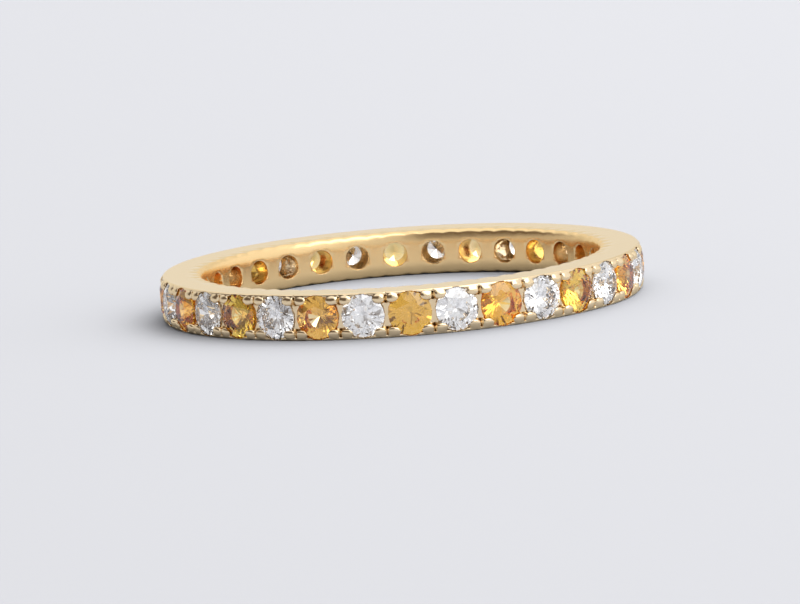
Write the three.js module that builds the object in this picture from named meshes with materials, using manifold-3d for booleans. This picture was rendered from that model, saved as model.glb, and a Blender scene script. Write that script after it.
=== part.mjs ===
// Eternity ring: a yellow gold band with a full circle of round brilliants, yellow and white in turn.
// Each stone sits in a drilled cone and is held by four bead prongs, two in each neighbouring gap.
// Millimetres, +Z up. The ring lies on its side: its axis is Z, and z = 0 is its lower side face.
// Stone 1 faces -Y, and the stones are counted from there towards +X.
import * as THREE from "three";
import { mergeVertices } from "three/addons/utils/BufferGeometryUtils.js";
import Module from "manifold-3d";

// Driving dimensions of the band, in millimetres.
const BORE_RADIUS = 8.25;
const METAL_RADIUS = 9.72;
const BAND_HEIGHT = 1.9;
const EDGE_CHAMFER = 0.09;
const HOLE_RADIUS = 0.5; // the drilled hole that lets light in behind each stone
const HOLE_OVERRUN = 1; // how far the drill runs past the bore's wall

// Driving dimensions of the stones, in millimetres. Heights count from the girdle's middle.
const STONE_COUNT = 32;
const GIRDLE_DISTANCE = 9.85; // from the ring's axis to the middle of a stone's girdle
const SEAT_CLEARANCE = 0.03;
const SPIN_STEP = 0.29; // radians: each stone is set a little further round its own axis than the last

// The two cuts. table is the table's corner radius; crown and pavilion are heights above and below the
// girdle's middle; star is the share of the crown that the star facets take; lower is the share of the
// radius at which the lower girdle facets end, close to the culet.
const WHITE_CUT = {
  radius: 0.9,
  table: 0.5,
  crown: 0.25,
  pavilion: 0.76,
  girdle: 0.05,
  star: 0.5,
  lower: 0.22,
};
const YELLOW_CUT = {
  radius: 0.9,
  table: 0.47,
  crown: 0.24,
  pavilion: 0.8,
  girdle: 0.06,
  star: 0.42,
  lower: 0.15,
};

// Driving dimensions of the prongs, in millimetres.
const PRONG_ROOT_RADIUS = 0.26;
const PRONG_HEAD_RADIUS = 0.17;
const PRONG_SPREAD = 0.235; // from the middle of a gap to the axis of each prong
const PRONG_OFFSET = 0.66; // from the band's mid-plane to the axis of each prong
const PRONG_TIP = 10.06; // from the ring's axis to the top of a prong
const PRONG_ROOT = 9.3;
const PRONG_HEAD = 0.04; // how far the head rises to its middle

// How finely round things are cut into flats.
const STATIONS_PER_STONE = 2;
const SEAT_SIDES = 12;
const PRONG_SIDES = 6;

const PITCH = (2 * Math.PI) / STONE_COUNT;
const MID_PLANE = BAND_HEIGHT / 2;
const OCTANTS = [0, 1, 2, 3, 4, 5, 6, 7];
const HALF_OCTANT = Math.PI / 8;

const wasm = await Module();
wasm.setup();

// A closed three.js geometry as a solid that can be joined and cut.
function solidOf(geometry) {
  const bare = geometry.clone();
  bare.deleteAttribute("normal");
  bare.deleteAttribute("uv");
  const merged = mergeVertices(bare, 1e-5);
  return new wasm.Manifold(
    new wasm.Mesh({
      numProp: 3,
      vertProperties: merged.getAttribute("position").array,
      triVerts: new Uint32Array(merged.getIndex().array),
    }),
  );
}

// A solid back as a three.js geometry with flat faces.
function geometryOf(solid) {
  const mesh = solid.getMesh();
  const indexed = new THREE.BufferGeometry();
  indexed.setAttribute("position", new THREE.BufferAttribute(mesh.vertProperties, 3));
  indexed.setIndex(new THREE.BufferAttribute(mesh.triVerts, 1));
  const flat = indexed.toNonIndexed();
  flat.computeVertexNormals();
  return flat;
}

// A lathe shape whose axis, given as Y, is turned to point along +Z.
function turned(profile, sides) {
  const points = profile.map(([radius, height]) => new THREE.Vector2(radius, height));
  return new THREE.LatheGeometry(points, sides).rotateX(Math.PI / 2);
}

// The matrix that takes a shape built about +Z, seen from outside the ring, to a place round the ring:
// +Z becomes the outward direction, +X the direction round the ring and +Y the ring's axis.
function placeRound(turn, distance) {
  const outward = new THREE.Vector3(Math.sin(turn), -Math.cos(turn), 0);
  const along = new THREE.Vector3(Math.cos(turn), Math.sin(turn), 0);
  const axis = new THREE.Vector3(0, 0, 1);
  const matrix = new THREE.Matrix4().makeBasis(along, axis, outward);
  return matrix.setPosition(outward.clone().multiplyScalar(distance).setZ(MID_PLANE));
}

// The plain band: a section with chamfered edges, swept round.
function plainBand() {
  const inner = BORE_RADIUS;
  const outer = METAL_RADIUS;
  const edge = EDGE_CHAMFER;
  const section = [
    [inner, edge],
    [inner + edge, 0],
    [outer - edge, 0],
    [outer, edge],
    [outer, BAND_HEIGHT - edge],
    [outer - edge, BAND_HEIGHT],
    [inner + edge, BAND_HEIGHT],
    [inner, BAND_HEIGHT - edge],
    [inner, edge],
  ];
  return solidOf(turned(section, STONE_COUNT * STATIONS_PER_STONE));
}

// Corners of a round brilliant, eight of each kind, about +Z with its girdle at z = 0.
function brilliantCorners(cut) {
  const halfGirdle = cut.girdle / 2;
  const cosHalf = Math.cos(HALF_OCTANT);
  const crownSlope = (cut.crown - halfGirdle) / (cut.radius - cut.table);
  const pavilionSlope = (cut.pavilion - halfGirdle) / cut.radius;
  const starRadius = cut.table * cosHalf + cut.star * (cut.radius - cut.table * cosHalf);
  const lowerRadius = cut.lower * cut.radius;
  return {
    table: ring(cut.table, cut.crown, 0),
    star: ring(starRadius, cut.crown - (starRadius * cosHalf - cut.table) * crownSlope, HALF_OCTANT),
    upperMain: ring(cut.radius, halfGirdle, 0),
    upperHalf: ring(cut.radius, halfGirdle, HALF_OCTANT),
    lowerMain: ring(cut.radius, -halfGirdle, 0),
    lowerHalf: ring(cut.radius, -halfGirdle, HALF_OCTANT),
    pavilion: ring(lowerRadius, lowerRadius * cosHalf * pavilionSlope - cut.pavilion, HALF_OCTANT),
    culet: [0, 0, -cut.pavilion],
  };
}

// Eight points at one radius and height, an octant apart.
function ring(radius, height, start) {
  return OCTANTS.map((k) => {
    const turn = start + 2 * k * HALF_OCTANT;
    return [radius * Math.cos(turn), radius * Math.sin(turn), height];
  });
}

// A round brilliant with a table, 32 crown facets, a faceted girdle and 24 pavilion facets.
function brilliantGeometry(cut) {
  const at = brilliantCorners(cut);
  const corners = [];
  for (const k of OCTANTS) {
    const next = (k + 1) % 8;
    const last = (k + 7) % 8;
    if (k > 0 && k < 7) corners.push(at.table[0], at.table[k], at.table[next]);
    corners.push(at.table[k], at.star[k], at.table[next]);
    corners.push(at.table[k], at.star[last], at.upperMain[k]);
    corners.push(at.table[k], at.upperMain[k], at.star[k]);
    corners.push(at.star[k], at.upperMain[k], at.upperHalf[k]);
    corners.push(at.star[k], at.upperHalf[k], at.upperMain[next]);
    corners.push(at.upperMain[k], at.lowerMain[k], at.lowerHalf[k]);
    corners.push(at.upperMain[k], at.lowerHalf[k], at.upperHalf[k]);
    corners.push(at.upperHalf[k], at.lowerHalf[k], at.lowerMain[next]);
    corners.push(at.upperHalf[k], at.lowerMain[next], at.upperMain[next]);
    corners.push(at.lowerMain[k], at.pavilion[k], at.lowerHalf[k]);
    corners.push(at.lowerHalf[k], at.pavilion[k], at.lowerMain[next]);
    corners.push(at.lowerMain[k], at.pavilion[last], at.culet);
    corners.push(at.lowerMain[k], at.culet, at.pavilion[k]);
  }
  const geometry = new THREE.BufferGeometry();
  geometry.setAttribute("position", new THREE.Float32BufferAttribute(corners.flat(), 3));
  geometry.computeVertexNormals();
  return geometry;
}

// The cutter for one seat: the stone's own envelope with a little room, and the drilled hole under it.
function seatCutter(cut) {
  const room = SEAT_CLEARANCE;
  const acrossFlats = Math.cos(Math.PI / SEAT_SIDES);
  const girdle = (cut.radius + room) / acrossFlats;
  const table = (cut.table + room) / acrossFlats;
  const slope = cut.pavilion / cut.radius;
  const holeTop = -cut.girdle / 2 - (girdle - HOLE_RADIUS) * slope;
  const holeEnd = BORE_RADIUS - GIRDLE_DISTANCE - HOLE_OVERRUN;
  const cutter = turned(
    [
      [0, holeEnd],
      [HOLE_RADIUS, holeEnd],
      [HOLE_RADIUS, holeTop],
      [girdle, -cut.girdle / 2],
      [girdle, cut.girdle / 2 + room / 2],
      [table, cut.crown + room],
      [0, cut.crown + room],
    ],
    SEAT_SIDES,
  );
  return cutter.rotateZ(Math.PI / SEAT_SIDES);
}

// One prong: a round post that tapers to a slightly domed head.
function prongGeometry() {
  return turned(
    [
      [0, PRONG_ROOT],
      [PRONG_ROOT_RADIUS, PRONG_ROOT],
      [PRONG_HEAD_RADIUS, PRONG_TIP - PRONG_HEAD],
      [0, PRONG_TIP],
    ],
    PRONG_SIDES,
  );
}

// The finished band: the plain band with four prongs in each gap, less a seat and a hole for each stone.
function bandGeometry() {
  let metal = plainBand();
  const prong = prongGeometry();
  const seats = [seatCutter(YELLOW_CUT), seatCutter(WHITE_CUT)];
  const cutters = [];
  for (let k = 0; k < STONE_COUNT; k++) {
    const gap = placeRound((k + 0.5) * PITCH, 0);
    for (const side of [-1, 1])
      for (const end of [-1, 1]) {
        const post = prong.clone().translate(side * PRONG_SPREAD, end * PRONG_OFFSET, 0);
        metal = metal.add(solidOf(post.applyMatrix4(gap)));
      }
    cutters.push(seats[k % 2].clone().applyMatrix4(placeRound(k * PITCH, GIRDLE_DISTANCE)));
  }
  for (const cutter of cutters) metal = metal.subtract(solidOf(cutter));
  return geometryOf(metal);
}

const goldMaterial = new THREE.MeshStandardMaterial({ color: "#e9cf9f", metalness: 1, roughness: 0.18 });
const whiteMaterial = new THREE.MeshStandardMaterial({ color: "#eef0f6", metalness: 0, roughness: 0.02 });
const yellowMaterial = new THREE.MeshStandardMaterial({ color: "#efab3c", metalness: 0, roughness: 0.02 });

function makeBand() {
  const band = new THREE.Mesh(bandGeometry(), goldMaterial);
  band.name = "band";
  return band;
}

// One stone, turned about its own axis, in a group that takes it to its place round the ring.
function makeStone(k) {
  const isYellow = k % 2 === 0;
  const number = String(Math.floor(k / 2) + 1).padStart(2, "0");
  const stone = new THREE.Mesh(
    brilliantGeometry(isYellow ? YELLOW_CUT : WHITE_CUT),
    isYellow ? yellowMaterial : whiteMaterial,
  );
  stone.rotation.z = k * SPIN_STEP;
  stone.name = (isYellow ? "yellow_stone_" : "white_stone_") + number;
  const place = new THREE.Group();
  place.applyMatrix4(placeRound(k * PITCH, GIRDLE_DISTANCE));
  place.add(stone);
  return place;
}

const ringGroup = new THREE.Group();
ringGroup.add(makeBand());
for (let k = 0; k < STONE_COUNT; k++) ringGroup.add(makeStone(k));

export default ringGroup;
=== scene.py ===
"""Eternity ring: a yellow gold band set with yellow and white round brilliants in turn.

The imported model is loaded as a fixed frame. The band is modelled anew as one cast and polished
piece and stands for its node. The stones keep their own cut solids and get their finishes here.
Everything is in metres in the frame's axes: the ring lies on its side on a pale studio floor, its
axis is Z, and stone 1 faces -Y.
"""
import logging
import math
from collections.abc import Callable, Iterator
from contextlib import contextmanager
from dataclasses import dataclass, field
from enum import Enum

import bmesh
import bpy
from mathutils import Matrix, Vector


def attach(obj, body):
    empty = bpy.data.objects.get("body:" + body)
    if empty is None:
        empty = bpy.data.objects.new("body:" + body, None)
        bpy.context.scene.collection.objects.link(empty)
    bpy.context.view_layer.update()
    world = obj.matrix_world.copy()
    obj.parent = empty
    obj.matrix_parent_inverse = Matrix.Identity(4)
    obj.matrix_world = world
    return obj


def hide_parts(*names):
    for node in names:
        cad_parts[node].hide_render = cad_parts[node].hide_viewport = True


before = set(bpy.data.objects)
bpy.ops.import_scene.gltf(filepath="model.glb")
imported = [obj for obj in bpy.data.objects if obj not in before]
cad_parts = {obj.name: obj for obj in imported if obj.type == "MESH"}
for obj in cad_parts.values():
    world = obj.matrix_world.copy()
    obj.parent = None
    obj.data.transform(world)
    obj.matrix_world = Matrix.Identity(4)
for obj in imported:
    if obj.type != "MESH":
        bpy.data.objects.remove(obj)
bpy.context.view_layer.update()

LOG = logging.getLogger("eternity_ring")
MM = 0.001
STONE_COUNT = 32
PITCH = math.tau / STONE_COUNT
MID_PLANE = 0.95  # mm, half the height of the band

# Socket numbers of a Mix node that mixes colours.
MIX_SHARE, MIX_FIRST, MIX_SECOND, MIX_RESULT = 0, 6, 7, 2

Span = tuple[float, float]
Light = tuple[float, float, float, float]


def linear(colour: str) -> Light:
    """Turn an sRGB hex colour into the linear values that shader sockets take.

    Args:
        colour: Six hex digits after a hash sign.

    Returns:
        Linear red, green, blue and an alpha of one.
    """
    parts = [int(colour[i : i + 2], 16) / 255 for i in (1, 3, 5)]
    red, green, blue = (c / 12.92 if c <= 0.04045 else ((c + 0.055) / 1.055) ** 2.4 for c in parts)
    return (red, green, blue, 1.0)


def limited(value: float) -> float:
    """Limit a number to between nought and one."""
    return min(1.0, max(0.0, value))


def add_node(
    tree: bpy.types.NodeTree,
    kind: str,
    settings: dict[str, object] | None = None,
    values: dict[str | int, object] | None = None,
    links: dict[str | int, bpy.types.NodeSocket] | None = None,
) -> bpy.types.Node:
    """Add one node with its settings, its socket values and its links.

    Args:
        tree: The tree that takes the node.
        kind: Blender's name for the kind of node.
        settings: Properties of the node itself.
        values: Default values, by input name or number.
        links: Sockets that feed the inputs, by input name or number.

    Returns:
        The new node.
    """
    node = tree.nodes.new(kind)
    for name, value in (settings or {}).items():
        setattr(node, name, value)
    for key, value in (values or {}).items():
        node.inputs[key].default_value = value
    for key, socket in (links or {}).items():
        tree.links.new(socket, node.inputs[key])
    return node


def empty_material(name: str) -> tuple[bpy.types.Material, bpy.types.NodeTree]:
    """Make a material with an empty node tree.

    Args:
        name: The material's name.

    Returns:
        The material and its node tree.
    """
    material = bpy.data.materials.new(name)
    material.use_nodes = True
    material.node_tree.nodes.clear()
    return material, material.node_tree


def wear_only(piece: bpy.types.Object, material: bpy.types.Material) -> None:
    """Give a piece one material on every face, through its object's own slots.

    Args:
        piece: The piece to dress.
        material: What it is made of.
    """
    if not piece.material_slots:
        piece.data.materials.append(material)
    for slot in piece.material_slots:
        slot.link = "OBJECT"
        slot.material = material


class Bench:
    """Hand work on one piece at a time: selecting, edit mode, modifiers and booleans."""

    @staticmethod
    def take(piece: bpy.types.Object) -> None:
        """Select one piece alone and make it active.

        Args:
            piece: The piece to work on.
        """
        bpy.ops.object.select_all(action="DESELECT")
        piece.select_set(True)
        bpy.context.view_layer.objects.active = piece

    @staticmethod
    @contextmanager
    def editing(piece: bpy.types.Object, whole: bool = True) -> Iterator[None]:
        """Keep one piece in edit mode.

        Args:
            piece: The piece to edit.
            whole: Whether all of it is selected at the start, or nothing.

        Yields:
            Nothing.
        """
        Bench.take(piece)
        bpy.ops.object.mode_set(mode="EDIT")
        bpy.ops.mesh.select_mode(type="VERT")
        bpy.ops.mesh.select_all(action="SELECT" if whole else "DESELECT")
        yield
        bpy.ops.object.mode_set(mode="OBJECT")

    @staticmethod
    def pick(piece: bpy.types.Object, test: Callable[[Vector], bool]) -> None:
        """Select only the vertices that pass a test of their place, in edit mode.

        Args:
            piece: The piece in edit mode.
            test: Says of a vertex's place whether it is taken.
        """
        shape = bmesh.from_edit_mesh(piece.data)
        for vertex in shape.verts:
            vertex.select_set(test(vertex.co))
        shape.select_flush_mode()
        bmesh.update_edit_mesh(piece.data)

    @staticmethod
    def apply(piece: bpy.types.Object, kind: str, **settings: object) -> None:
        """Finish a piece with one modifier and apply it.

        Args:
            piece: The piece to finish.
            kind: The kind of modifier.
            settings: The modifier's properties.
        """
        Bench.take(piece)
        modifier = piece.modifiers.new(kind.title(), kind)
        for name, value in settings.items():
            setattr(modifier, name, value)
        bpy.ops.object.modifier_apply(modifier=modifier.name)

    @staticmethod
    def combine(piece: bpy.types.Object, tool: bpy.types.Object, how: str) -> None:
        """Join a tool to a piece or cut the piece with it, and clear the tool away.

        Args:
            piece: The piece that is kept.
            tool: The closed shape that is joined or cut away.
            how: UNION or DIFFERENCE.
        """
        Bench.apply(piece, "BOOLEAN", object=tool, operation=how, solver="EXACT")
        bpy.data.objects.remove(tool)

    @staticmethod
    def face_out(piece: bpy.types.Object) -> None:
        """Merge doubles and turn every face of a closed piece outwards.

        Args:
            piece: The closed piece.
        """
        with Bench.editing(piece):
            bpy.ops.mesh.remove_doubles(threshold=1e-5)
            bpy.ops.mesh.normals_make_consistent(inside=False)


@dataclass
class Band:
    """The cast band: two raised rims, a narrow groove under each, and a low saddle between them.

    Wide prongs stand in pairs beside the gaps, every stone has a seat with a drilled hole into the
    bore, the bore is rounded for comfort and its edges are scalloped. All sizes are millimetres,
    from the ring's axis or from the mid-plane. One quarter of one pitch is modelled, from the
    middle of a gap to the middle of a stone and from the mid-plane to the upper side, then mirrored
    twice and set 32 times round.
    """

    # The plain section, and how far the modelled arc runs past its three planes.
    bore: float = 8.25
    rim: float = 9.95
    half_height: float = MID_PLANE
    outer_round: float = 0.09
    inner_round: float = 0.16
    round_steps: int = 5
    arc_steps: int = 24
    below: float = 0.1
    margin: float = math.radians(2.0)

    # The groove under each rim, and the saddle that carries the neighbouring girdles.
    groove_floor: float = 9.68
    groove_top: float = 0.84
    groove_base: float = 0.76
    groove_reach: float = 10.4
    groove_margin: float = math.radians(3.0)
    saddle: float = 9.8
    saddle_root: float = 9.4
    saddle_edge: float = 0.48
    saddle_flare: float = 0.15

    # The prongs: wide, low lobes that lean outwards, with their roots sunk into the band.
    bead_width: float = 0.285
    bead_height: float = 0.2
    bead_depth: float = 0.115
    bead_tilt: float = math.radians(14.0)
    bead_root: float = 9.2
    bead_tip: float = 10.05
    bead_aside: float = 0.275
    bead_up: float = 0.69
    bead_middle: float = 0.01
    bead_segments: int = 28
    bead_rings: int = 18

    # The stone's envelope, its seat, and the openings that are cut for it.
    girdle_distance: float = 9.85
    girdle_under: float = 0.03
    girdle_over: float = 0.045
    stone_radius: float = 0.9
    table_radius: float = 0.5
    crown: float = 0.25
    pavilion: float = 0.76
    clearance: float = 0.03
    hole: float = 0.5
    hole_depth: float = 0.2
    hole_past: float = 1.0
    neck: float = 0.42
    neck_length: float = 0.1
    seat_sides: int = 64
    opening_sides: int = 96
    opening_room: float = 0.01
    opening_depth: float = 0.6
    opening_out: float = 0.27
    notch: float = 0.08
    notch_depth: float = 1.2
    notch_out: float = 0.04

    # Scallops along the side face's inner edge: each lobe drops from its crease to its middle.
    lobe_drop: float = 0.045
    lobe_limit: float = 1.2
    crease: float = math.radians(3.3)
    scallop_from: float = 0.55
    scallop_rise: float = 0.3
    scallop_reach: float = 8.9
    scallop_fade: float = 0.5

    # Comfort rounding: the bore opens towards its two edges.
    comfort: float = 0.12
    comfort_reach: float = 8.75
    comfort_fade: float = 0.3
    comfort_from: float = 0.3
    comfort_rise: float = 0.65

    # The mesh: size of its steps, smoothing, and the share of faces kept.
    touch: float = 1e-4
    voxel: float = 0.02
    smooth_factor: float = 0.5
    smooth_rounds: int = 3
    kept_share: float = 0.043
    weld: float = 1e-3
    sharp: float = math.radians(38)

    # Hand finish: full strength on the prongs' side, little on the flat faces and in the bore.
    finish_from: float = 9.6
    finish_height: float = 0.9
    finish_rest: float = 0.2
    finish_grain: float = 0.5
    finish_strength: float = 0.06

    def section(self, name: str, corners: tuple[Span, ...]) -> bpy.types.Object:
        """Make a flat four-sided section, distance from the axis against height, at turn zero.

        Args:
            name: Name of the piece.
            corners: Lower outer, lower inner, upper outer and upper inner corner.

        Returns:
            The flat piece.
        """
        bpy.ops.mesh.primitive_plane_add(size=1)
        flat = bpy.context.object
        flat.name = name
        for vertex, (distance, height) in zip(flat.data.vertices, corners):
            vertex.co = (0, -distance, height)
        return flat

    def spun(self, flat: bpy.types.Object, margin: float) -> bpy.types.Object:
        """Spin a section about the ring's axis into a closed arc of a little over half a pitch.

        Args:
            flat: The section at turn zero.
            margin: How far the arc runs past the half pitch at either end, in radians.

        Returns:
            The closed piece.
        """
        start, end = -margin, PITCH / 2 + margin
        flat.data.transform(Matrix.Rotation(start, 4, "Z"))
        with Bench.editing(flat):
            bpy.ops.mesh.spin(
                steps=self.arc_steps, angle=start - end, center=(0, 0, 0), axis=(0, 0, 1)
            )
        Bench.face_out(flat)
        return flat

    def blank(self) -> bpy.types.Object:
        """Spin the plain band's section, with its edges rounded.

        Returns:
            The blank arc.
        """
        low, high = -self.below, self.half_height
        corners = ((self.rim, low), (self.bore, low), (self.rim, high), (self.bore, high))
        flat = self.section("band", corners)
        for distance, size in ((self.rim, self.outer_round), (self.bore, self.inner_round)):
            with Bench.editing(flat, whole=False):
                Bench.pick(
                    flat,
                    lambda c: c.z > high - self.touch and abs(-c.y - distance) < self.touch,
                )
                bpy.ops.mesh.bevel(offset=size, segments=self.round_steps, affect="VERTICES")
        return self.spun(flat, self.margin)

    def groove(self) -> bpy.types.Object:
        """Spin the cutter for the groove between the rim and the saddle.

        Returns:
            The cutter.
        """
        beyond, floor, low = self.groove_reach, self.groove_floor, -2 * self.below
        rise = (beyond - floor) / (self.rim - floor)
        high = self.groove_base + (self.groove_top - self.groove_base) * rise
        corners = ((beyond, low), (floor, low), (beyond, high), (floor, self.groove_base))
        return self.spun(self.section("groove", corners), self.groove_margin)

    def saddle_ridge(self) -> bpy.types.Object:
        """Spin the low ridge that carries the neighbouring girdles at mid-height.

        Returns:
            The ridge.
        """
        top, root, low, edge = self.saddle, self.saddle_root, -self.below, self.saddle_edge
        corners = ((top, low), (root, low), (top, edge), (root, edge + self.saddle_flare))
        return self.spun(self.section("saddle", corners), self.margin)

    def bead(self) -> bpy.types.Object:
        """Model one prong: a flattened, leaning lobe on a long root.

        Returns:
            The prong at its place beside the middle of the gap.
        """
        middle = self.bead_tip - self.bead_depth
        bpy.ops.mesh.primitive_uv_sphere_add(
            segments=self.bead_segments, ring_count=self.bead_rings, radius=1
        )
        bead = bpy.context.object
        with Bench.editing(bead):
            bpy.ops.transform.resize(value=(self.bead_width, self.bead_height, self.bead_depth))
            Bench.pick(bead, lambda c: c.z < self.bead_middle)
            bpy.ops.transform.translate(value=(0, 0, self.bead_root - middle))
        place = Matrix.Translation((self.bead_aside, -middle, self.bead_up))
        bead.data.transform(place @ Matrix.Rotation(math.pi / 2 - self.bead_tilt, 4, "X"))
        return bead

    def revolved(self, profile: tuple[Span, ...], sides: int) -> bpy.types.Object:
        """Raise a closed round shape about +Z, one circle after another.

        Args:
            profile: Radius and height of each circle, from the lowest.
            sides: Number of sides.

        Returns:
            The closed piece.
        """
        (radius, height), *rest = profile
        bpy.ops.mesh.primitive_circle_add(
            vertices=sides, radius=radius, fill_type="NGON", location=(0, 0, height)
        )
        piece = bpy.context.object
        bpy.ops.object.transform_apply(location=True, rotation=False, scale=False)
        with Bench.editing(piece):
            for next_radius, next_height in rest:
                bpy.ops.mesh.extrude_region_move(
                    TRANSFORM_OT_translate={"value": (0, 0, next_height - height)}
                )
                share = next_radius / radius
                bpy.ops.transform.resize(
                    value=(share, share, 1), center_override=(0, 0, next_height)
                )
                radius, height = next_radius, next_height
        Bench.face_out(piece)
        return piece

    def at_stone(self, tool: bpy.types.Object, out: float) -> bpy.types.Object:
        """Turn a cutter's +Z outwards and set it at the stone's place, half a pitch round.

        Args:
            tool: The cutter, about +Z.
            out: The distance of its origin from the ring's axis.

        Returns:
            The same cutter.
        """
        stand = Matrix.Translation((0, -out, 0)) @ Matrix.Rotation(math.pi / 2, 4, "X")
        tool.data.transform(Matrix.Rotation(PITCH / 2, 4, "Z") @ stand)
        return tool

    def seat(self) -> bpy.types.Object:
        """Model the cutter for one seat: the stone's envelope with a little room, and the hole.

        Returns:
            The cutter at the stone's place.
        """
        wide = self.stone_radius + self.clearance
        slope = self.pavilion / self.stone_radius
        cone_end = -self.girdle_under - (wide - self.neck) * slope
        wall = self.bore - self.girdle_distance
        profile = (
            (self.hole, wall - self.hole_past),
            (self.hole, wall + self.hole_depth),
            (self.neck, cone_end - self.neck_length),
            (self.neck, cone_end),
            (wide, -self.girdle_under),
            (wide, self.girdle_over),
            (self.table_radius + self.clearance, self.crown + self.clearance),
        )
        return self.at_stone(self.revolved(profile, self.seat_sides), self.girdle_distance)

    def rim_opening(self) -> bpy.types.Object:
        """Model the round cutter that opens the rim for the stone's girdle.

        Returns:
            The cutter at the stone's place.
        """
        bpy.ops.mesh.primitive_cylinder_add(
            vertices=self.opening_sides,
            radius=self.stone_radius + self.opening_room,
            depth=self.opening_depth,
        )
        return self.at_stone(bpy.context.object, self.girdle_distance + self.opening_out)

    def notch_cutter(self) -> bpy.types.Object:
        """Model the cutter for the notch in the rim between two prongs, in the middle of the gap.

        Returns:
            The cutter.
        """
        bpy.ops.mesh.primitive_cylinder_add(
            vertices=4,
            radius=self.notch,
            depth=self.notch_depth,
            location=(0, -self.rim - self.notch_out, self.half_height),
        )
        notch = bpy.context.object
        bpy.ops.object.transform_apply(location=True, rotation=True, scale=True)
        return notch

    def scallop(self, piece: bpy.types.Object) -> None:
        """Shape the inner edge in shallow lobes between creases, and open the bore towards it.

        Args:
            piece: The arc, still with fine steps round.
        """
        narrow = PITCH / 2 - self.crease
        for vertex in piece.data.vertices:
            turn = math.atan2(vertex.co.x, -vertex.co.y)
            from_gap = abs(turn)
            if from_gap < narrow:
                off = from_gap / narrow
            else:
                off = abs(turn - PITCH / 2) / self.crease
            distance = math.hypot(vertex.co.x, vertex.co.y)
            share = limited((vertex.co.z - self.scallop_from) / self.scallop_rise)
            share *= limited((self.scallop_reach - distance) / self.scallop_fade)
            vertex.co.z -= self.lobe_drop * min(off, self.lobe_limit) ** 2 * share
            if distance < self.comfort_reach:
                rise = max(0.0, (abs(vertex.co.z) - self.comfort_from) / self.comfort_rise)
                dish = self.comfort * rise**2
                dish *= min(1.0, (self.comfort_reach - distance) / self.comfort_fade) / distance
                vertex.co.xy += vertex.co.xy * dish

    def quarter(self) -> bpy.types.Object:
        """Model the quarter of one pitch, cut to its three planes.

        Returns:
            The open patch.
        """
        piece = self.blank()
        Bench.combine(piece, self.groove(), "DIFFERENCE")
        Bench.combine(piece, self.rim_opening(), "DIFFERENCE")
        Bench.combine(piece, self.saddle_ridge(), "UNION")
        Bench.combine(piece, self.bead(), "UNION")
        Bench.combine(piece, self.notch_cutter(), "DIFFERENCE")
        Bench.combine(piece, self.seat(), "DIFFERENCE")
        Bench.apply(piece, "REMESH", mode="VOXEL", voxel_size=self.voxel)
        self.scallop(piece)
        Bench.apply(piece, "SMOOTH", factor=self.smooth_factor, iterations=self.smooth_rounds)
        Bench.apply(piece, "DECIMATE", ratio=self.kept_share)
        turn = PITCH / 2
        with Bench.editing(piece):
            for normal in ((-1, 0, 0), (0, 0, -1), (math.cos(turn), math.sin(turn), 0)):
                bpy.ops.mesh.select_all(action="SELECT")
                bpy.ops.mesh.bisect(plane_co=(0, 0, 0), plane_no=normal, clear_outer=True)
        return piece

    def hand_finish(self, band: bpy.types.Object) -> None:
        """Move the surface by hundredths of a millimetre, so that no two prongs are quite alike.

        Args:
            band: The closed band in millimetres.
        """
        group = band.vertex_groups.new(name="outer")
        for vertex in band.data.vertices:
            distance = math.hypot(vertex.co.x, vertex.co.y)
            outer = distance > self.finish_from and abs(vertex.co.z) < self.finish_height
            group.add([vertex.index], 1.0 if outer else self.finish_rest, "REPLACE")
        cloud = bpy.data.textures.new("hand_finish", "CLOUDS")
        cloud.noise_scale = self.finish_grain
        Bench.apply(
            band,
            "DISPLACE",
            texture=cloud,
            strength=self.finish_strength,
            mid_level=0.5,
            vertex_group="outer",
        )

    def build(self) -> bpy.types.Object:
        """Mirror the quarter, set it round the ring and close it into one solid.

        Returns:
            The finished band in metres.
        """
        band = self.quarter()
        Bench.apply(
            band,
            "MIRROR",
            use_axis=(True, False, True),
            use_mirror_merge=True,
            merge_threshold=self.touch,
        )
        with Bench.editing(band):
            bpy.ops.mesh.spin(
                steps=STONE_COUNT - 1,
                dupli=True,
                angle=PITCH * (STONE_COUNT - 1),
                center=(0, 0, 0),
                axis=(0, 0, 1),
            )
            bpy.ops.mesh.select_all(action="SELECT")
            bpy.ops.mesh.remove_doubles(threshold=self.weld)
            bpy.ops.mesh.normals_make_consistent(inside=False)
        self.hand_finish(band)
        half_pitch = Matrix.Rotation(PITCH / 2, 4, "Z")
        lift = Matrix.Translation((0, 0, MID_PLANE))
        band.data.transform(Matrix.Scale(MM, 4) @ lift @ half_pitch)
        Bench.take(band)
        bpy.ops.object.shade_smooth_by_angle(angle=self.sharp)
        Bench.apply(band, "WEIGHTED_NORMAL", keep_sharp=True)
        band.name = "polished_band"
        return band

    def dress(self, band: bpy.types.Object, gold: bpy.types.Material) -> None:
        """Give the band its metal and say which node it stands for.

        Args:
            band: The finished band.
            gold: Its metal.
        """
        wear_only(band, gold)
        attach(band, "root")
        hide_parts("band")


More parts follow.
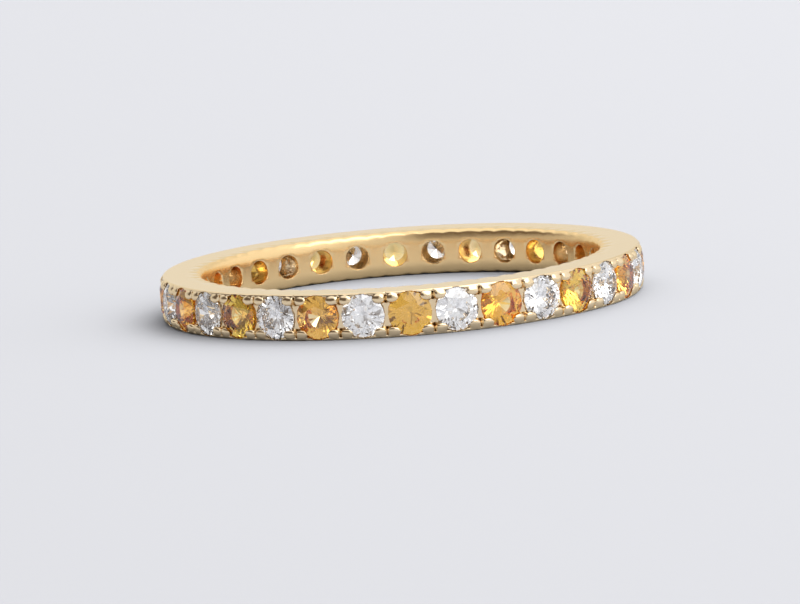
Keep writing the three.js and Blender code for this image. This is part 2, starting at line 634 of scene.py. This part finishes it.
@dataclass(frozen=True)
class CastGold:
    """Yellow gold of 14 carats, cast, tumbled and polished by hand.

    Polishing leaves a bright mirror with faint ripples. The narrow grooves beside the prongs are
    duller, because a polishing wheel doesn't reach them, and their colour is darkened as painted
    shade, with part of that painted shade on the saddle at mid-height. The bore is slightly satin
    from wear, and its colour is a warmer gold as a painted reflection of gold mirrored in gold. The
    masks' edges are millimetres.
    """

    polished: str = "#EFD8B2"
    # The groove colour below is painted shade, darker than the polished gold.
    painted_shade_hollow: str = "#8A6C42"
    # The bore colour below is a painted reflection: a warmer gold than the polished gold.
    painted_reflection_gold: str = "#F6D59E"
    edge: str = "#F7EFDA"
    roughness: float = 0.11
    hollow_roughness: float = 0.3
    worn_roughness: float = 0.12
    ripple_mm: float = 0.35
    ripple_depth_mm: float = 0.02
    ripple_strength: float = 0.12
    ripple_roughness: float = 0.05
    ripple_detail: float = 2.0
    # Edges of the painted shade in the grooves: darkest under the rim, none on the hole walls and
    # the side face, part on the saddle.
    under_rim: Span = (9.84, 9.66)
    off_bore: Span = (9.42, 9.55)
    off_side: Span = (0.88, 0.83)
    off_saddle: Span = (0.42, 0.52)
    saddle_share: float = 0.3
    in_bore: Span = (8.56, 8.42)

    def material(self) -> bpy.types.Material:
        """Make the metal.

        Returns:
            The material.
        """
        material, tree = empty_material("gold_14k_cast_polished")
        place = add_node(tree, "ShaderNodeTexCoord")
        metres = add_node(
            tree, "ShaderNodeSeparateXYZ", links={0: place.outputs["Object"]}
        )
        flat = add_node(
            tree,
            "ShaderNodeCombineXYZ",
            links={"X": metres.outputs["X"], "Y": metres.outputs["Y"]},
        )
        from_axis = add_node(
            tree, "ShaderNodeVectorMath", {"operation": "LENGTH"}, links={0: flat.outputs[0]}
        )
        height = add_node(
            tree,
            "ShaderNodeMath",
            {"operation": "SUBTRACT"},
            {1: MID_PLANE * MM},
            {0: metres.outputs["Z"]},
        )
        from_middle = add_node(
            tree, "ShaderNodeMath", {"operation": "ABSOLUTE"}, links={0: height.outputs[0]}
        )
        distance, level = from_axis.outputs["Value"], from_middle.outputs[0]
        # The first mask marks the painted shade in the grooves; it also makes them rougher.
        painted_shade_hollow, *others, in_bore = [
            add_node(
                tree,
                "ShaderNodeMapRange",
                {"interpolation_type": "SMOOTHSTEP"},
                {"From Min": span[0] * MM, "From Max": span[1] * MM, "To Min": least},
                {"Value": measure},
            )
            for measure, span, least in (
                (distance, self.under_rim, 0.0),
                (distance, self.off_bore, 0.0),
                (level, self.off_side, 0.0),
                (level, self.off_saddle, self.saddle_share),
                (distance, self.in_bore, 0.0),
            )
        ]
        for mask in others:
            painted_shade_hollow = add_node(
                tree,
                "ShaderNodeMath",
                {"operation": "MULTIPLY"},
                links={0: painted_shade_hollow.outputs[0], 1: mask.outputs[0]},
            )
        # Painted shade: the grooves' colour darkens.
        colour = add_node(
            tree,
            "ShaderNodeMix",
            {"data_type": "RGBA"},
            {MIX_FIRST: linear(self.polished), MIX_SECOND: linear(self.painted_shade_hollow)},
            {MIX_SHARE: painted_shade_hollow.outputs[0]},
        )
        # Painted reflection: the bore's colour turns a warmer gold.
        tone = add_node(
            tree,
            "ShaderNodeMix",
            {"data_type": "RGBA"},
            {MIX_SECOND: linear(self.painted_reflection_gold)},
            {MIX_SHARE: in_bore.outputs[0], MIX_FIRST: colour.outputs[MIX_RESULT]},
        )
        ripple = add_node(
            tree,
            "ShaderNodeTexNoise",
            values={"Scale": 1 / (self.ripple_mm * MM), "Detail": self.ripple_detail},
            links={"Vector": place.outputs["Object"]},
        )
        roughness = add_node(
            tree,
            "ShaderNodeMapRange",
            values={"To Min": self.roughness, "To Max": self.hollow_roughness},
            links={"Value": painted_shade_hollow.outputs[0]},
        )
        satin = add_node(
            tree,
            "ShaderNodeMath",
            {"operation": "MULTIPLY_ADD"},
            {1: self.worn_roughness},
            {0: in_bore.outputs[0], 2: roughness.outputs[0]},
        )
        varied = add_node(
            tree,
            "ShaderNodeMath",
            {"operation": "MULTIPLY_ADD"},
            {1: self.ripple_roughness},
            {0: ripple.outputs["Fac"], 2: satin.outputs[0]},
        )
        bump = add_node(
            tree,
            "ShaderNodeBump",
            values={"Strength": self.ripple_strength, "Distance": self.ripple_depth_mm * MM},
            links={"Height": ripple.outputs["Fac"]},
        )
        shader = add_node(
            tree,
            "ShaderNodeBsdfPrincipled",
            values={"Metallic": 1.0, "Specular Tint": linear(self.edge)},
            links={
                "Base Color": tone.outputs[MIX_RESULT],
                "Roughness": varied.outputs[0],
                "Normal": bump.outputs[0],
            },
        )
        add_node(tree, "ShaderNodeOutputMaterial", links={"Surface": shader.outputs[0]})
        return material


class SapphireTone(Enum):
    """How the light through the yellow stones is tinted: its colour, and its density per metre."""

    GOLDEN = ("#FFEE7A", 1250.0)
    AMBER = ("#FCE67A", 1400.0)
    ORANGE = ("#FFE449", 1300.0)
    HONEY = ("#FDE68C", 1350.0)


@dataclass(frozen=True)
class CutSapphire:
    """Yellow sapphire, faceted and polished: clear, and deeper in colour where light goes far."""

    tone: SapphireTone
    surface: str = "#FFFFFF"
    ior: float = 1.77

    def material(self) -> bpy.types.Material:
        """Make the stone's material.

        Returns:
            The material.
        """
        colour, density = self.tone.value
        material, tree = empty_material("yellow_sapphire_faceted_" + self.tone.name.lower())
        shader = add_node(
            tree,
            "ShaderNodeBsdfPrincipled",
            values={
                "Base Color": linear(self.surface),
                "Roughness": 0.0,
                "IOR": self.ior,
                "Transmission Weight": 1.0,
            },
        )
        inside = add_node(
            tree,
            "ShaderNodeVolumeAbsorption",
            values={"Color": linear(colour), "Density": density},
        )
        add_node(
            tree,
            "ShaderNodeOutputMaterial",
            links={"Surface": shader.outputs[0], "Volume": inside.outputs[0]},
        )
        return material


@dataclass(frozen=True)
class CutDiamond:
    """White diamond, faceted and polished: colourless, with hard-edged reflections inside."""

    surface: str = "#FFFFFF"
    ior: float = 2.417

    def material(self) -> bpy.types.Material:
        """Make the stone's material.

        Returns:
            The material.
        """
        material, tree = empty_material("white_diamond_faceted")
        shader = add_node(
            tree,
            "ShaderNodeBsdfPrincipled",
            values={
                "Base Color": linear(self.surface),
                "Roughness": 0.0,
                "IOR": self.ior,
                "Transmission Weight": 1.0,
            },
        )
        add_node(tree, "ShaderNodeOutputMaterial", links={"Surface": shader.outputs[0]})
        return material


@dataclass
class StoneSet:
    """The 32 stones, yellow and white in turn, which keep their own cut solids."""

    tones: tuple[SapphireTone, ...] = (
        SapphireTone.AMBER,
        SapphireTone.ORANGE,
        SapphireTone.GOLDEN,
        SapphireTone.HONEY,
    )

    def dress(self) -> int:
        """Give every stone its material, the yellow ones each tone in turn.

        Returns:
            The number of stones dressed.
        """
        white = CutDiamond().material()
        yellow = {tone: CutSapphire(tone).material() for tone in SapphireTone}
        for pair in range(STONE_COUNT // 2):
            number = f"{pair + 1:02d}"
            tone = self.tones[pair % len(self.tones)]
            wear_only(bpy.data.objects["yellow_stone_" + number], yellow[tone])
            wear_only(bpy.data.objects["white_stone_" + number], white)
        return STONE_COUNT


@dataclass(frozen=True)
class MatteCard:
    """Card of a pale grey, smooth and matte: it takes soft shadows and mirrors nothing."""

    colour: str = "#B3B4B8"
    roughness: float = 0.85
    sheen_level: float = 0.03

    def material(self) -> bpy.types.Material:
        """Make the floor's material.

        Returns:
            The material.
        """
        material, tree = empty_material("pale_card_matte")
        shader = add_node(
            tree,
            "ShaderNodeBsdfPrincipled",
            values={
                "Base Color": linear(self.colour),
                "Roughness": self.roughness,
                "Specular IOR Level": self.sheen_level,
            },
        )
        add_node(tree, "ShaderNodeOutputMaterial", links={"Surface": shader.outputs[0]})
        return material


@dataclass(frozen=True)
class SoftWindow:
    """A window's even light: its direction in degrees, and its distance and size in metres.

    A window that isn't mirrored lights the ring, but doesn't show in the metal.
    """

    name: str
    azimuth: float
    elevation: float
    width: float
    height: float
    watts: float
    colour: str = "#FFFFFF"
    distance: float = 0.5
    mirrored: bool = True


@dataclass
class Studio:
    """Floor, sky, lamps and camera. Angles are degrees, and azimuth 0 looks from -Y.

    The room is bright to the right, behind and above, and darker and warmer at the front on the
    left, where the metal mirrors it. Each bright part is given as the start and end of its fade
    along an axis and as its strength, and the dark part by the edges of its fade. The room's
    light is in linear levels, because some of it is brighter than white.
    """

    windows: tuple[SoftWindow, ...] = (
        SoftWindow(
            "window",
            azimuth=40,
            elevation=50,
            width=0.4,
            height=0.5,
            watts=0.92,
            colour="#FFFDFA",
        ),
        SoftWindow(
            "back_window",
            azimuth=147,
            elevation=45,
            width=0.45,
            height=0.45,
            watts=1.8,
            mirrored=False,
        ),
        SoftWindow(
            "side_window",
            azimuth=70,
            elevation=32,
            width=0.5,
            height=0.5,
            watts=1.2,
            mirrored=False,
        ),
    )
    floor_size: float = 3.0
    room_low: Light = (0.73, 0.73, 0.74, 1.0)
    room_high: Light = (1.14, 1.14, 1.15, 1.0)
    bright_right: tuple[float, float, float] = (0.3, 0.9, 0.85)
    bright_behind: tuple[float, float, float] = (0.6, 0.95, 0.52)
    bright_above: tuple[float, float, float] = (0.35, 0.75, 1.0)
    dark: Light = (0.15, 0.12, 0.1, 1.0)
    dark_left: Span = (-130.0, -95.0)
    dark_right: Span = (-2.0, -14.0)
    dark_bottom: Span = (5.0, 15.0)
    dark_top: Span = (60.0, 44.0)
    centre: Vector = field(default_factory=lambda: Vector((0, 0, MID_PLANE * MM)))
    camera_distance: float = 0.4
    camera_azimuth: float = -1.4
    camera_elevation: float = 7.8
    camera_roll: float = 4.19
    lens: float = 432.0  # mm: with the sensor below, the frame is 33 mm wide at the ring
    sensor_width: float = 36.0
    clip: Span = (0.01, 10.0)
    aim_right: float = -0.079 * MM
    aim_up: float = -0.896 * MM
    bounces: int = 24
    glossy_bounces: int = 16
    transmission_bounces: int = 20

    @staticmethod
    def towards(azimuth: float, elevation: float) -> Vector:
        """Give the direction from the ring to a place in the studio.

        Args:
            azimuth: Degrees from -Y towards +X.
            elevation: Degrees above the floor.

        Returns:
            A unit vector.
        """
        a, e = math.radians(azimuth), math.radians(elevation)
        return Vector((math.sin(a) * math.cos(e), -math.cos(a) * math.cos(e), math.sin(e)))

    def floor(self) -> None:
        """Lay the pale floor."""
        bpy.ops.object.select_all(action="DESELECT")
        bpy.ops.mesh.primitive_plane_add(size=self.floor_size)
        floor = bpy.context.object
        floor.name = "floor"
        wear_only(floor, MatteCard().material())

    def hang(self, window: SoftWindow) -> None:
        """Hang one soft light so that it faces the ring.

        Args:
            window: The light's place, size and power.
        """
        light = bpy.data.lights.new(window.name, "AREA")
        light.shape = "RECTANGLE"
        light.size = window.width
        light.size_y = window.height
        light.energy = window.watts
        light.color = linear(window.colour)[:3]
        lamp = bpy.data.objects.new(window.name, light)
        lamp.visible_glossy = window.mirrored
        bpy.context.scene.collection.objects.link(lamp)
        direction = self.towards(window.azimuth, window.elevation)
        lamp.location = self.centre + direction * window.distance
        lamp.rotation_euler = direction.to_track_quat("Z", "Y").to_euler()

    def sky(self) -> None:
        """Make the room's light."""
        world = bpy.data.worlds.new("studio_room")
        bpy.context.scene.world = world
        world.use_nodes = True
        tree = world.node_tree
        tree.nodes.clear()
        place = add_node(tree, "ShaderNodeTexCoord")
        parts = add_node(tree, "ShaderNodeSeparateXYZ", links={0: place.outputs["Generated"]})
        front = add_node(
            tree,
            "ShaderNodeMath",
            {"operation": "MULTIPLY"},
            {1: -1.0},
            {0: parts.outputs["Y"]},
        )
        azimuth = add_node(
            tree,
            "ShaderNodeMath",
            {"operation": "ARCTAN2"},
            links={0: parts.outputs["X"], 1: front.outputs[0]},
        )
        elevation = add_node(
            tree, "ShaderNodeMath", {"operation": "ARCSINE"}, links={0: parts.outputs["Z"]}
        )
        shade, *edges = [
            add_node(
                tree,
                "ShaderNodeMapRange",
                {"interpolation_type": "SMOOTHSTEP"},
                {"From Min": math.radians(span[0]), "From Max": math.radians(span[1])},
                {"Value": angle.outputs[0]},
            )
            for angle, span in (
                (azimuth, self.dark_left),
                (azimuth, self.dark_right),
                (elevation, self.dark_bottom),
                (elevation, self.dark_top),
            )
        ]
        for edge in edges:
            shade = add_node(
                tree,
                "ShaderNodeMath",
                {"operation": "MULTIPLY"},
                links={0: shade.outputs[0], 1: edge.outputs[0]},
            )
        bright, *glows = [
            add_node(
                tree,
                "ShaderNodeMapRange",
                {"interpolation_type": "SMOOTHSTEP"},
                {"From Min": start, "From Max": end, "To Max": strength},
                {"Value": parts.outputs[axis]},
            )
            for axis, (start, end, strength) in (
                ("X", self.bright_right),
                ("Y", self.bright_behind),
                ("Z", self.bright_above),
            )
        ]
        for glow in glows:
            bright = add_node(
                tree,
                "ShaderNodeMath",
                {"operation": "MAXIMUM"},
                links={0: bright.outputs[0], 1: glow.outputs[0]},
            )
        room = add_node(
            tree,
            "ShaderNodeMix",
            {"data_type": "RGBA"},
            {MIX_FIRST: self.room_low, MIX_SECOND: self.room_high},
            {MIX_SHARE: bright.outputs[0]},
        )
        colour = add_node(
            tree,
            "ShaderNodeMix",
            {"data_type": "RGBA"},
            {MIX_SECOND: self.dark},
            {MIX_SHARE: shade.outputs[0], MIX_FIRST: room.outputs[MIX_RESULT]},
        )
        back = add_node(
            tree, "ShaderNodeBackground", links={"Color": colour.outputs[MIX_RESULT]}
        )
        add_node(tree, "ShaderNodeOutputWorld", links={"Surface": back.outputs[0]})

    def camera(self) -> None:
        """Place the camera at the photograph's viewing angle."""
        back = self.towards(self.camera_azimuth, self.camera_elevation)
        level = Vector((0, 0, 1)).cross(back).normalized()
        above = back.cross(level)
        roll = math.radians(self.camera_roll)
        right = level * math.cos(roll) - above * math.sin(roll)
        up = above * math.cos(roll) + level * math.sin(roll)
        place = self.centre + back * self.camera_distance
        aim = self.centre + right * self.aim_right + up * self.aim_up
        back = (place - aim).normalized()
        right = up.cross(back).normalized()
        up = back.cross(right)
        data = bpy.data.cameras.new("camera")
        data.lens = self.lens
        data.sensor_width = self.sensor_width
        data.clip_start, data.clip_end = self.clip
        camera = bpy.data.objects.new("camera", data)
        bpy.context.scene.collection.objects.link(camera)
        turn = Matrix((right, up, back)).transposed().to_4x4()
        camera.matrix_world = Matrix.Translation(place) @ turn
        bpy.context.scene.camera = camera

    def build(self) -> None:
        """Set up the whole studio."""
        self.floor()
        self.sky()
        for window in self.windows:
            self.hang(window)
        self.camera()
        scene = bpy.context.scene
        scene.view_settings.view_transform = "Standard"
        scene.cycles.max_bounces = self.bounces
        scene.cycles.glossy_bounces = self.glossy_bounces
        scene.cycles.transmission_bounces = self.transmission_bounces
        scene.cycles.caustics_reflective = False
        scene.cycles.caustics_refractive = False


def main() -> None:
    """Build the scene's pieces in order and report each."""
    logging.basicConfig(level=logging.INFO, format="%(message)s")
    Studio().build()
    LOG.info("studio: floor, sky, lamps and camera")
    maker = Band()
    band = maker.build()
    maker.dress(band, CastGold().material())
    LOG.info("band: %d faces", len(band.data.polygons))
    LOG.info("stones dressed: %d", StoneSet().dress())


if __name__ == "__main__":
    main()
